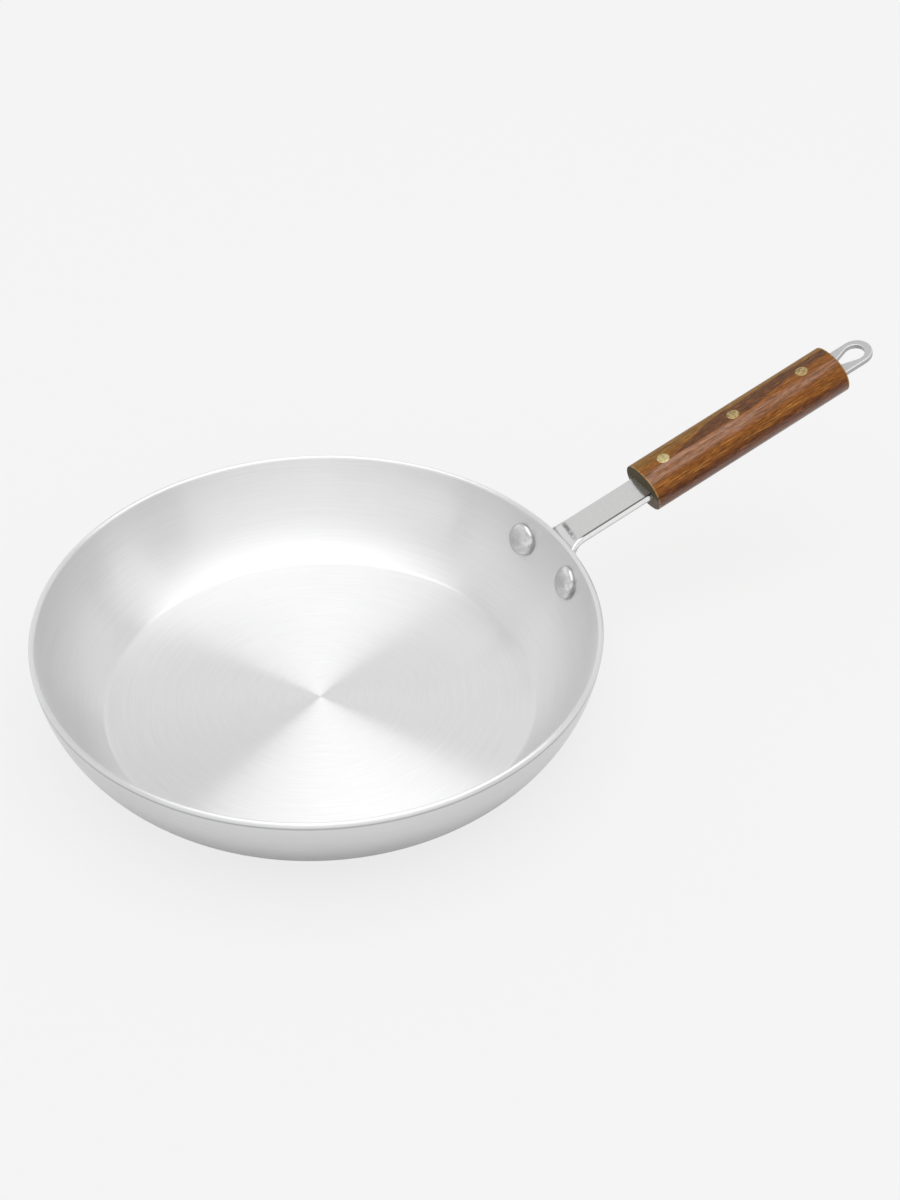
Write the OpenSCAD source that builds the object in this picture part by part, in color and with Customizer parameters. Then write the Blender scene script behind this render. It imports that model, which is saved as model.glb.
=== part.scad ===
// Omelette pan: a spun aluminium bowl, a riveted steel strap and a wooden grip of two scales.
// Millimetres. The origin is the middle of the base's underside, +Z is up, the handle leaves along +X.

/* [Bowl] */
// Outer diameter over the rim
rim_d = 240; // [200:5:300]
// Height from the table to the top of the rim
pan_h = 44; // [38:1:48]
// Thickness of the wall and of the base
wall_t = 2.6; // [2:0.1:3.2]
// Radius of the wall's outer curve, seen from the side
wall_curve_r = 55; // [52:1:60]
// How far the wall leans out from upright at the lip, in degrees
rim_lean = 5.2; // [3:0.2:7]
// Outer radius of the corner between the base and the wall
corner_r = 10; // [6:1:14]

/* [Rivets] */
// Angle between the two rivets, seen from the middle of the bowl
rivet_angle = 17.9; // [15:0.1:22]
// How far below the rim the rivets pass through the inside of the wall
rivet_drop = 13.2; // [12:0.2:16]
// Diameter of the shanks
rivet_d = 6; // [5:0.5:8]
// Diameter of the heads inside the bowl
rivet_head_d = 14.5; // [11:0.5:16]
// Height of the heads inside the bowl
rivet_head_h = 3; // [2:0.2:4]
// Diameter of the set ends outside
rivet_tail_d = 10.5; // [9:0.5:12]
// Height of the set ends outside
rivet_tail_h = 2.2; // [1.6:0.2:3]

/* [Strap] */
// Width of the strap
strap_w = 15.5; // [13:0.5:18]
// Thickness of the strap and of its flange
strap_t = 3.3; // [2.5:0.1:4]
// Slope of the strap above level, in degrees
strap_rise = 15.5; // [10:0.5:20]
// How far below the rim the strap's top face crosses the rim's radius
strap_drop = 3.8; // [3:0.2:5]
// Length of the strap along its slope, from the rim's radius to its tip
strap_l = 173; // [160:1:220]
// Inner radius of the bend from the strap into its flange
bend_r = 9; // [6:1:12]
// Distance beyond the rim at which the strap starts to widen towards the bowl
flare_start = 16; // [10:1:25]
// Radius of the widening, seen from above
flare_r = 45; // [35:1:60]
// Radius of the flange's ears round the rivets
ear_r = 9; // [7:0.5:10]

/* [Hanging eye] */
// Width of the teardrop eye in the strap's end
eye_w = 9.6; // [7:0.2:11]
// Length of the eye
eye_l = 16.6; // [13:0.2:18]
// Metal left between the eye and the strap's tip
eye_edge = 3.6; // [3:0.2:5]
// Radius of the eye's narrow end
eye_point_r = 1.2; // [0.8:0.1:2]

/* [Grip] */
// Distance along the strap from the rim's radius to the grip
grip_start = 46; // [40:1:60]
// Length of the grip
grip_l = 106; // [95:1:110]
// Width of the grip
grip_w = 25.2; // [22:0.2:30]
// Height of the grip over both scales
grip_h = 19.4; // [17:0.2:22]
// Radius of the crown on the top and on the underside of the grip
grip_crown_r = 22; // [19:1:40]
// Diameter of the brass pins
pin_d = 6; // [4:0.5:8]
// Distance from the grip's front end to the first pin
pin_inset = 13; // [9:1:16]
// Distance between neighbouring pins
pin_pitch = 38.4; // [30:0.2:40]

/* [Hidden] */
$fn = 96;
// Clearance of a shank in its hole, and of the flange from the wall
fit = 0.05;
// Overshoot of a cutting shape past the face that it cuts
cut = 1;
// Steps of the wall's curve, of the corner and of the lip
wall_steps = 20;
corner_steps = 5;
lip_steps = 10;

// The lip is the round end of the wall
lip_r = rim_d/2 - wall_t/2;
lip_z = pan_h - wall_t/2;
// Centre of the wall's curve, as radius and height
curve_mid_r = wall_curve_r - wall_t/2;
curve_c = [lip_r - curve_mid_r*cos(rim_lean), lip_z + curve_mid_r*sin(rim_lean)];
// Centre of the corner's curve, which touches the table and runs on into the wall's curve
corner_run = sqrt(pow(wall_curve_r - corner_r, 2) - pow(curve_c.y - corner_r, 2));
corner_c = [curve_c.x + corner_run, corner_r];
corner_end = atan2(corner_run, curve_c.y - corner_r) - 90;

// Each rivet lies along the wall's normal, this many degrees below level
wall_inner_r = wall_curve_r - wall_t;
rivet_dip = asin((curve_c.y - (pan_h - rivet_drop))/wall_inner_r);
flange_inner_r = wall_curve_r + fit;
flange_outer_r = flange_inner_r + strap_t;
flange_mid_r = (flange_inner_r + flange_outer_r)/2;
ear_c = [(curve_c.x + flange_mid_r*cos(rivet_dip))*sin(rivet_angle/2),
         curve_c.y - flange_mid_r*sin(rivet_dip)];

// The bend's outer curve touches both the strap's top face and the wall
bend_outer_r = bend_r + strap_t;
bend_reach = flange_inner_r + bend_outer_r;
to_rim = [rim_d/2, pan_h - strap_drop] - curve_c + bend_outer_r*[sin(strap_rise), -cos(strap_rise)];
along = to_rim*[cos(strap_rise), sin(strap_rise)];
bend_start = sqrt(along*along - to_rim*to_rim + bend_reach*bend_reach) - along;
bend_c = to_rim + bend_start*[cos(strap_rise), sin(strap_rise)];
bend_turn = 90 - strap_rise + atan2(bend_c.y, bend_c.x);
flare_w = 2*(strap_w/2 + flare_r - sqrt(flare_r*flare_r - flare_start*flare_start));

// The eye's wide end is a circle, and its sides touch a small circle at the narrow end
eye_wide_r = eye_w/2;
eye_wide_s = strap_l - eye_edge - eye_wide_r;
eye_point_s = strap_l - eye_edge - eye_l + eye_point_r;
eye_taper = asin((eye_wide_r - eye_point_r)/(eye_wide_s - eye_point_s));

// The grip's section is an oval of four arcs
grip_side_r = (pow(grip_w/2, 2) + pow(grip_h/2, 2) - grip_crown_r*grip_h)/(grip_w - 2*grip_crown_r);
grip_side_x = grip_w/2 - grip_side_r;
grip_crown_w = 2*grip_crown_r*grip_side_x/(grip_crown_r - grip_side_r);

// Points of an arc round c, from one angle to another
function arc(c, r, from, to, steps) =
    [for (i = [0:steps]) let (a = from + (to - from)*i/steps) c + r*[cos(a), sin(a)]];

// The bowl's surface at a depth inside its outer face, from the middle of the base out to the lip
function bowl_line(depth) = concat(
    [[0, depth]],
    arc(corner_c, corner_r - depth, -90, corner_end, corner_steps),
    arc(curve_c, wall_curve_r - depth, corner_end, -rim_lean, wall_steps));

function reversed(list) = [for (i = [len(list) - 1:-1:0]) list[i]];

// Places what follows along a wall normal: +Z runs outwards, z is measured from the wall curve's centre
module at_rivet(side) {
    rotate([0, 0, side*rivet_angle/2])
        translate([curve_c.x, 0, curve_c.y])
            rotate([0, 90 + rivet_dip, 0])
                children();
}

// Places what follows on the strap: +X runs along it from the rim's radius, z = 0 is its top face
module on_strap() {
    translate([rim_d/2, 0, pan_h - strap_drop])
        rotate([0, -strap_rise, 0])
            children();
}

// Everything inside the bowl, up past the rim
module bowl_inside() {
    rotate_extrude($fn = 180)
        polygon(concat(bowl_line(wall_t), [[lip_r, pan_h + cut], [0, pan_h + cut]]));
}

// Solid of revolution whose outside is the flange's outer face
module flange_outside() {
    rotate_extrude($fn = 180)
        intersection() {
            translate(curve_c) circle(r = flange_outer_r, $fn = 180);
            translate([0, curve_c.y - flange_outer_r]) square([rim_d, flange_outer_r]);
        }
}

module rivet_holes() {
    for (side = [-1, 1])
        at_rivet(side)
            translate([0, 0, wall_inner_r - rivet_head_h])
                cylinder(d = rivet_d, h = wall_t + strap_t + 2*rivet_head_h);
}

// A low dome of diameter d and height h that stands on z = 0
module dome(d, h) {
    sphere_r = (d*d/4 + h*h)/(2*h);
    intersection() {
        translate([0, 0, h - sphere_r]) sphere(r = sphere_r);
        cylinder(d = d, h = h + cut);
    }
}

module pan_bowl() {
    color("gainsboro")
        difference() {
            rotate_extrude($fn = 180)
                polygon(concat(
                    bowl_line(wall_t),
                    arc([lip_r, lip_z], wall_t/2, 180 - rim_lean, -rim_lean, lip_steps),
                    reversed(bowl_line(0))));
            rivet_holes();
        }
}

// The strap's straight part and its bend, seen from the side
module strap_side() {
    translate([bend_start, -strap_t]) square([strap_l - bend_start, strap_t]);
    translate([bend_start, -bend_outer_r])
        intersection() {
            difference() {
                circle(r = bend_outer_r);
                circle(r = bend_r);
            }
            polygon([[0, 0], [0, 2*bend_outer_r],
                     2*bend_outer_r*[-tan(bend_turn/2), 1],
                     2*bend_outer_r*[-sin(bend_turn), cos(bend_turn)]]);
        }
}

// The strap's outline from above: a straight bar with a round end that widens towards the bowl
module strap_plan() {
    translate([flare_start - cut, -strap_w/2]) square([strap_l - strap_w/2 - flare_start + cut, strap_w]);
    translate([strap_l - strap_w/2, 0]) circle(d = strap_w);
    difference() {
        translate([-bend_outer_r, -flare_w/2 - cut]) square([flare_start + bend_outer_r, flare_w + 2*cut]);
        for (side = [-1, 1])
            translate([flare_start, side*(strap_w/2 + flare_r)]) circle(r = flare_r);
    }
}

module eye() {
    translate([eye_wide_s, 0]) circle(r = eye_wide_r);
    translate([eye_point_s, 0]) circle(r = eye_point_r);
    slant = [-sin(eye_taper), cos(eye_taper)];
    upright = [1, -1];
    wide = [[slant.x, slant.y], [slant.x, -slant.y]]*eye_wide_r;
    narrow = [[slant.x, slant.y], [slant.x, -slant.y]]*eye_point_r;
    polygon([[eye_wide_s, 0] + wide[0], [eye_point_s, 0] + narrow[0],
             [eye_point_s, 0] + narrow[1], [eye_wide_s, 0] + wide[1]]);
}

// The flange hugs the outside of the wall, and has a round ear at each rivet
module flange() {
    intersection() {
        rotate([0, 0, -rivet_angle])
            rotate_extrude(angle = 2*rivet_angle, $fn = 180)
                translate(curve_c)
                    difference() {
                        intersection() {
                            circle(r = flange_outer_r, $fn = 180);
                            translate([0, -flange_outer_r]) square(flange_outer_r);
                        }
                        circle(r = flange_inner_r, $fn = 180);
                    }
        rotate([90, 0, 90])
            linear_extrude(rim_d) {
                for (side = [-1, 1])
                    translate([side*ear_c.x, ear_c.y]) circle(r = ear_r);
                translate([-ear_c.x, ear_c.y - ear_r]) square([2*ear_c.x, 2*ear_r]);
            }
    }
}

module handle_strap() {
    color("silver")
        difference() {
            union() {
                flange();
                on_strap()
                    intersection() {
                        translate([0, rim_d/2, 0]) rotate([90, 0, 0]) linear_extrude(rim_d) strap_side();
                        translate([0, 0, -rim_d/2]) linear_extrude(rim_d) strap_plan();
                    }
            }
            rivet_holes();
            on_strap() {
                translate([0, 0, -strap_t - cut]) linear_extrude(strap_t + 2*cut) eye();
                pin_places([0, 1, 2]) translate([0, 0, -grip_h]) cylinder(d = pin_d, h = 2*grip_h);
            }
        }
}

// A rivet with a low domed head inside the bowl and a smaller set end outside the flange
module wall_rivet(side) {
    color("lightgray") {
        intersection() {
            at_rivet(side)
                translate([0, 0, wall_inner_r + cut])
                    rotate([180, 0, 0]) {
                        translate([0, 0, cut]) dome(rivet_head_d, rivet_head_h);
                        cylinder(d = rivet_head_d, h = cut);
                    }
            bowl_inside();
        }
        at_rivet(side)
            translate([0, 0, wall_inner_r - cut])
                cylinder(d = rivet_d - 2*fit, h = wall_t + strap_t + 2*cut);
        difference() {
            at_rivet(side) {
                translate([0, 0, flange_outer_r]) dome(rivet_tail_d, rivet_tail_h);
                translate([0, 0, flange_outer_r - cut]) cylinder(d = rivet_tail_d, h = cut);
            }
            flange_outside();
        }
    }
}

// Places what follows at the chosen pins, on the strap
module pin_places(chosen) {
    for (i = chosen)
        translate([grip_start + pin_inset + i*pin_pitch, 0, 0])
            children();
}

// The oval outline of the whole grip
module grip_oval() {
    for (side = [-1, 1])
        translate([side*grip_side_x, 0]) circle(r = grip_side_r);
    intersection() {
        square([grip_crown_w, grip_h], center = true);
        for (side = [-1, 1])
            intersection() {
                translate([0, side*(grip_crown_r - grip_h/2)]) circle(r = grip_crown_r, $fn = 180);
                translate([0, -side*(grip_crown_r - grip_h/2)]) circle(r = grip_crown_r, $fn = 180);
            }
    }
}

module grip_block() {
    translate([grip_start, 0, -strap_t/2])
        rotate([90, 0, 90])
            linear_extrude(grip_l) grip_oval();
}

// One half of the grip, with a shallow groove for the strap and holes for the pins
module grip_scale(side) {
    color("saddlebrown")
        on_strap()
            difference() {
                intersection() {
                    grip_block();
                    translate([grip_start, -grip_w, side > 0 ? -strap_t/2 : -strap_t/2 - grip_h])
                        cube([grip_l, 2*grip_w, grip_h]);
                }
                translate([grip_start - cut, -strap_w/2 - fit, -strap_t - fit])
                    cube([grip_l + 2*cut, strap_w + 2*fit, strap_t + 2*fit]);
                pin_places([0, 1, 2]) translate([0, 0, -grip_h]) cylinder(d = pin_d, h = 2*grip_h);
            }
}

// A brass pin, cut off flush with the grip's top and underside
module grip_pin(place) {
    color("khaki")
        on_strap()
            intersection() {
                grip_block();
                pin_places([place]) translate([0, 0, -grip_h]) cylinder(d = pin_d - 2*fit, h = 2*grip_h);
            }
}

pan_bowl();
handle_strap();
wall_rivet(1);  // wall_rivet_left
wall_rivet(-1);  // wall_rivet_right
grip_scale(1);  // grip_scale_upper
grip_scale(-1);  // grip_scale_lower
grip_pin(0);  // grip_pin_front
grip_pin(1);  // grip_pin_middle
grip_pin(2);  // grip_pin_rear
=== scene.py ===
"""Omelette pan: a spun aluminium bowl, a polished steel strap and a varnished wooden grip.

Metres and degrees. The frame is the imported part's own: the origin is the middle of the base's
underside, +Z is up and the handle leaves along +X. Sizes are written in millimetres, times MM.
"""

import logging
import math
from collections.abc import Sequence
from dataclasses import dataclass
from enum import Enum

import bmesh
import bpy
from mathutils import Matrix, Vector


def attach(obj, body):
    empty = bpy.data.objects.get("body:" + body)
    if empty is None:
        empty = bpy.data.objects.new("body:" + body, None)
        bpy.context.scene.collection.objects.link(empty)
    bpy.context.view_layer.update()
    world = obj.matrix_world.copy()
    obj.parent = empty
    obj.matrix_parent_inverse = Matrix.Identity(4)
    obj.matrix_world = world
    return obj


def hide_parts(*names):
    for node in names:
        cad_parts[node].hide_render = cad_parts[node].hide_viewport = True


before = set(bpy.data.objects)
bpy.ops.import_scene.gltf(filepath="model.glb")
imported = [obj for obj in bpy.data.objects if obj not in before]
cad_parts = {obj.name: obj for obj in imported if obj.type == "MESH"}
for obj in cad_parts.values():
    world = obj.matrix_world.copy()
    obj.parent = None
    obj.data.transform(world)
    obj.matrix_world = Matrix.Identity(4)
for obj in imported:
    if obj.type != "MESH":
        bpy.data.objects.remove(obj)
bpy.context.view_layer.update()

MM = 0.001
BODY = "root"
CREASE_ANGLE = 35.0
log = logging.getLogger("omelette_pan")

Point = tuple[float, float]
Span = tuple[float, float]
Colour = tuple[float, float, float]
Ring = Sequence[bmesh.types.BMVert]


# Shader expressions


class Value:
    """A shader socket that Python expressions can use; each operator adds its Math node."""

    def __init__(self, book: "NodeBook", socket: bpy.types.NodeSocket) -> None:
        """Wraps an output socket of a node book."""
        self.book = book
        self.socket = socket

    def _math(self, operation: str, left: "Value | float", right: "Value | float") -> "Value":
        """Returns the result of a Math node."""
        return self.book.add("ShaderNodeMath", {"operation": operation}, {0: left, 1: right})

    def __add__(self, other: "Value | float") -> "Value":
        """Returns self + other."""
        return self._math("ADD", self, other)

    __radd__ = __add__

    def __sub__(self, other: "Value | float") -> "Value":
        """Returns self - other."""
        return self._math("SUBTRACT", self, other)

    def __rsub__(self, other: "Value | float") -> "Value":
        """Returns other - self."""
        return self._math("SUBTRACT", other, self)

    def __mul__(self, other: "Value | float") -> "Value":
        """Returns self * other."""
        return self._math("MULTIPLY", self, other)

    __rmul__ = __mul__

    def __truediv__(self, other: "Value | float") -> "Value":
        """Returns self / other."""
        return self._math("DIVIDE", self, other)

    def __rtruediv__(self, other: "Value | float") -> "Value":
        """Returns other / self."""
        return self._math("DIVIDE", other, self)

    def __abs__(self) -> "Value":
        """Returns the value without its sign."""
        return self._math("ABSOLUTE", self, 0.0)

    def smooth(self, low: float, high: float) -> "Value":
        """Changes smoothly from 0 to 1.

        Args:
            low: Where it is 0.
            high: Where it is 1, above or below low.

        Returns:
            A number from 0 to 1.
        """
        falls = low > high
        start, end = (high, low) if falls else (low, high)
        step = self.book.add(
            "ShaderNodeMapRange",
            {"interpolation_type": "SMOOTHSTEP"},
            {"Value": self, "From Min": start, "From Max": end},
        )
        return 1.0 - step if falls else step

    def band(self, low: "Value | float", high: "Value | float", soft: float) -> "Value":
        """Returns 1 between two limits and 0 beyond them; soft is half of each soft edge."""
        return (self - low).smooth(-soft, soft) * (high - self).smooth(-soft, soft)


Given = Value | Sequence[float]


class NodeBook:
    """The node tree of one material or world, with the few calls that the finishes need."""

    def __init__(self, name: str, world: bool = False) -> None:
        """Starts an empty material or world.

        Args:
            name: Its name.
            world: Whether it is a world.
        """
        self.owner = (bpy.data.worlds if world else bpy.data.materials).new(name)
        self.owner.use_nodes = True
        self.tree = self.owner.node_tree
        self.tree.nodes.clear()
        self.output = self.tree.nodes.new("ShaderNodeOutputWorld" if world else "ShaderNodeOutputMaterial")

    def add(
        self,
        kind: str,
        settings: dict | None = None,
        inputs: dict | None = None,
        output: int | str = 0,
    ) -> Value:
        """Adds any node.

        Args:
            kind: The node's type.
            settings: Attributes that are set before the sockets; "stops" fills a colour ramp.
            inputs: Socket index or name to a Value, number, colour or vector.
            output: Index or name of the output that is wanted.

        Returns:
            The wanted output.
        """
        node = self.tree.nodes.new(kind)
        for name, setting in (settings or {}).items():
            if name == "stops":
                self._fill_ramp(node.color_ramp, setting)
            else:
                setattr(node, name, setting)
        for name, given in (inputs or {}).items():
            if isinstance(given, Value):
                self.tree.links.new(given.socket, node.inputs[name])
            else:
                node.inputs[name].default_value = given
        return Value(self, node.outputs[output])

    @staticmethod
    def _fill_ramp(ramp: bpy.types.ColorRamp, stops: Sequence[tuple[float, Colour]]) -> None:
        """Sets the stops of a colour ramp.

        Args:
            ramp: The ramp.
            stops: Places from 0 to 1 with their colours.
        """
        while len(ramp.elements) < len(stops):
            ramp.elements.new(1.0)
        for element, (place, colour) in zip(ramp.elements, stops):
            element.position = place
            element.color = _rgba(colour)

    def place(self) -> Value:
        """Returns the surface point, in the part's own frame."""
        return self.add("ShaderNodeTexCoord", output="Object")

    def facing(self, direction: Sequence[float]) -> Value:
        """Returns how far the surface faces a direction, from -1 to 1."""
        return self.dot(self.add("ShaderNodeNewGeometry", output="Normal"), direction)

    def dot(self, vector: Value, axis: Sequence[float]) -> Value:
        """Returns the length of a vector along a constant axis."""
        settings = {"operation": "DOT_PRODUCT"}
        return self.add("ShaderNodeVectorMath", settings, {0: vector, 1: tuple(axis)}, "Value")

    def vector(self, operation: str, left: Given, right: Given) -> Value:
        """Returns the result of a Vector Math node of two vectors."""
        return self.add("ShaderNodeVectorMath", {"operation": operation}, {0: left, 1: right})

    def scale(self, vector: Given, amount: Value | float) -> Value:
        """Returns a longer vector or a lighter colour, times the amount."""
        return self.add("ShaderNodeVectorMath", {"operation": "SCALE"}, {0: vector, "Scale": amount})

    def xyz(self, x: Value | float, y: Value | float, z: Value | float) -> Value:
        """Returns the vector of three numbers."""
        return self.add("ShaderNodeCombineXYZ", inputs={0: x, 1: y, 2: z})

    def noise(self, vector: Value, scale: float = 1.0, detail: float = 2.0, rough: float = 0.5) -> Value:
        """Returns noise round 0.5: features per unit of the vector, octaves and strength of finer noise."""
        inputs = {"Vector": vector, "Scale": scale, "Detail": detail, "Roughness": rough}
        return self.add("ShaderNodeTexNoise", inputs=inputs)

    def mix(self, factor: Value | float, low: Given, high: Given) -> Value:
        """Returns the mix of two colours; the factor is the share of the second."""
        colours = {0: factor, 6: _rgba(low), 7: _rgba(high)}
        return self.add("ShaderNodeMix", {"data_type": "RGBA"}, colours, 2)

    def bump(self, height: Value, strength: float, depth: float) -> Value:
        """Returns the normal that a height from 0 to 1 gives; a full step is so many metres deep."""
        return self.add("ShaderNodeBump", inputs={"Strength": strength, "Distance": depth, "Height": height})

    def surface(self, **sockets: Value | float | Sequence[float]) -> Value:
        """Returns a Principled shader; a socket's name has _ in place of each space."""
        inputs = {name.replace("_", " "): given for name, given in sockets.items()}
        return self.add("ShaderNodeBsdfPrincipled", inputs=inputs)

    def close(self, shader: Value) -> bpy.types.Material | bpy.types.World:
        """Returns the material or world, which shows the shader."""
        self.tree.links.new(shader.socket, self.output.inputs["Surface"])
        return self.owner


def _rgba(colour: Given) -> Given:
    """Gives a plain colour its alpha; a link stays as it is."""
    return colour if isinstance(colour, Value) else (*colour, 1.0)


# Sizes


def arc(centre: Point, radius: float, start: float, end: float, steps: int) -> list[Point]:
    """Returns the points of an arc, from one angle in degrees to another in so many steps."""
    angles = (math.radians(start + (end - start) * i / steps) for i in range(steps + 1))
    return [(centre[0] + radius * math.cos(a), centre[1] + radius * math.sin(a)) for a in angles]


@dataclass(frozen=True)
class BowlSize:
    """The bowl's driving sizes, as the solid has them but for a tighter inside corner."""

    rim_d: float = 240.0 * MM
    height: float = 44.0 * MM
    wall: float = 2.6 * MM
    curve_r: float = 55.0 * MM
    rim_lean: float = 5.2
    corner_r: float = 10.0 * MM
    inside_corner_r: float = 4.0 * MM
    base_steps: int = 24
    corner_steps: int = 10
    wall_steps: int = 40

    @property
    def lip(self) -> Point:
        """Centre of the rounded lip, as radius and height."""
        return (self.rim_d / 2 - self.wall / 2, self.height - self.wall / 2)

    @property
    def curve_c(self) -> Point:
        """Centre of the wall's curve, as radius and height."""
        middle = self.curve_r - self.wall / 2
        lean = math.radians(self.rim_lean)
        return (self.lip[0] - middle * math.cos(lean), self.lip[1] + middle * math.sin(lean))

    def line(self, depth: float) -> list[Point]:
        """The bowl's surface from the middle of the base to the lip.

        Args:
            depth: Depth inside the outer face.

        Returns:
            Points as radius and height.
        """
        corner_r = self.inside_corner_r if depth else self.corner_r
        drop = self.curve_c[1] - depth - corner_r
        run = math.sqrt((self.curve_r - depth - corner_r) ** 2 - drop**2)
        centre = (self.curve_c[0] + run, depth + corner_r)
        end = math.degrees(math.atan2(run, drop)) - 90
        base = [(centre[0] * i / self.base_steps, depth) for i in range(self.base_steps)]
        corner = arc(centre, corner_r, -90, end, self.corner_steps)
        wall = arc(self.curve_c, self.curve_r - depth, end, -self.rim_lean, self.wall_steps)
        return base + corner + wall[1:]


@dataclass(frozen=True)
class StrapSize:
    """The strap's driving sizes, as the solid has them but for a shorter flare."""

    bowl: BowlSize = BowlSize()
    width: float = 15.5 * MM
    thick: float = 3.3 * MM
    rise: float = 15.5
    drop: float = 3.8 * MM
    length: float = 173.0 * MM
    bend_r: float = 9.0 * MM
    flare_start: float = 10.0 * MM
    flare_r: float = 24.0 * MM
    ear_r: float = 9.0 * MM
    rivet_angle: float = 17.9
    rivet_drop: float = 13.2 * MM
    gap: float = 0.05 * MM
    eye_w: float = 9.6 * MM
    eye_l: float = 16.6 * MM
    eye_edge: float = 3.6 * MM
    eye_point_r: float = 1.2 * MM

    @property
    def start(self) -> Vector:
        """Where the strap's top face crosses the rim's radius."""
        return Vector((self.bowl.rim_d / 2, 0, self.bowl.height - self.drop))

    @property
    def along(self) -> Vector:
        """Direction of the strap, away from the bowl."""
        rise = math.radians(self.rise)
        return Vector((math.cos(rise), 0, math.sin(rise)))

    @property
    def up(self) -> Vector:
        """Direction out of the strap's top face."""
        rise = math.radians(self.rise)
        return Vector((-math.sin(rise), 0, math.cos(rise)))

    def at(self, s: float, t: float, n: float) -> Vector:
        """Returns the point at s along the strap from the rim's radius, t across it and n over its top."""
        return self.start + s * self.along + n * self.up + Vector((0, t, 0))

    @property
    def rivet_dip(self) -> float:
        """How far each rivet's axis points below level, outwards, in degrees."""
        inner = self.bowl.curve_r - self.bowl.wall
        drop = self.bowl.curve_c[1] - (self.bowl.height - self.rivet_drop)
        return math.degrees(math.asin(drop / inner))

    @property
    def flange_r(self) -> float:
        """Radius of the flange's inner face, about the centre of the wall's curve."""
        return self.bowl.curve_r + self.gap

    @property
    def bend_start(self) -> float:
        """Distance along the strap at which the bend starts."""
        outer = self.bend_r + self.thick
        reach = self.flange_r + outer
        x, z = self._bend_side(0.0)
        rise = math.radians(self.rise)
        along = x * math.cos(rise) + z * math.sin(rise)
        return math.sqrt(along**2 - x**2 - z**2 + reach**2) - along

    def _bend_side(self, s: float) -> Point:
        """Places the bend's centre.

        Args:
            s: Distance along the strap at which the bend starts.

        Returns:
            The centre as radius and height, counted from the centre of the wall's curve.
        """
        outer = self.bend_r + self.thick
        middle = self.start + s * self.along - outer * self.up
        return (middle.x - self.bowl.curve_c[0], middle.z - self.bowl.curve_c[1])

    @property
    def bend_c(self) -> Point:
        """Centre of the bend, as radius and height."""
        x, z = self._bend_side(self.bend_start)
        return (x + self.bowl.curve_c[0], z + self.bowl.curve_c[1])

    @property
    def bend_dip(self) -> float:
        """Angle below level at which the bend meets the wall, in degrees."""
        x, z = self._bend_side(self.bend_start)
        return -math.degrees(math.atan2(z, x))

    @property
    def bend_end(self) -> float:
        """Developed distance at which the bend ends on the wall."""
        turn = math.radians(90 - self.rise - self.bend_dip)
        return self.bend_start - turn * (self.bend_r + self.thick / 2)

    @property
    def ear(self) -> Point:
        """Middle of an ear on the flat blank: distance along and distance across."""
        middle = self.flange_r + self.thick / 2
        below = math.radians(self.rivet_dip - self.bend_dip)
        radius = self.bowl.curve_c[0] + middle * math.cos(math.radians(self.rivet_dip))
        return (self.bend_end - middle * below, radius * math.radians(self.rivet_angle / 2))

    @property
    def eye_wide(self) -> Point:
        """Distance along and radius of the eye's wide end."""
        radius = self.eye_w / 2
        return (self.length - self.eye_edge - radius, radius)

    @property
    def eye_point(self) -> Point:
        """Distance along and radius of the eye's narrow end."""
        return (self.length - self.eye_edge - self.eye_l + self.eye_point_r, self.eye_point_r)


@dataclass(frozen=True)
class GripSize:
    """The grip's driving sizes, as the solid has them."""

    strap: StrapSize = StrapSize()
    start: float = 46.0 * MM
    length: float = 106.0 * MM
    width: float = 25.2 * MM
    height: float = 19.4 * MM
    crown_r: float = 22.0 * MM
    pin_d: float = 6.0 * MM
    pin_inset: float = 13.0 * MM
    pin_pitch: float = 38.4 * MM

    @property
    def side_r(self) -> float:
        """Radius of the oval's sides."""
        half_w, half_h = self.width / 2, self.height / 2
        return (half_w**2 + half_h**2 - 2 * self.crown_r * half_h) / (2 * (half_w - self.crown_r))

    @property
    def side_x(self) -> float:
        """Distance of a side's centre from the middle of the oval."""
        return self.width / 2 - self.side_r

    @property
    def crown_turn(self) -> float:
        """Angle of the point where side and crown meet, in degrees above level."""
        return math.degrees(math.atan2(self.crown_r - self.height / 2, self.side_x))

    def crown_height(self, t: float) -> float:
        """Height of the crown over the middle of the oval, at a distance across."""
        return math.sqrt(self.crown_r**2 - t**2) - (self.crown_r - self.height / 2)

    def pin_s(self, place: int) -> float:
        """Distance along the strap of a pin, counted from the bowl."""
        return self.start + self.pin_inset + place * self.pin_pitch

    @property
    def mid_n(self) -> float:
        """Height of the oval's middle over the strap's top face."""
        return -self.strap.thick / 2


# Finishes


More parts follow.
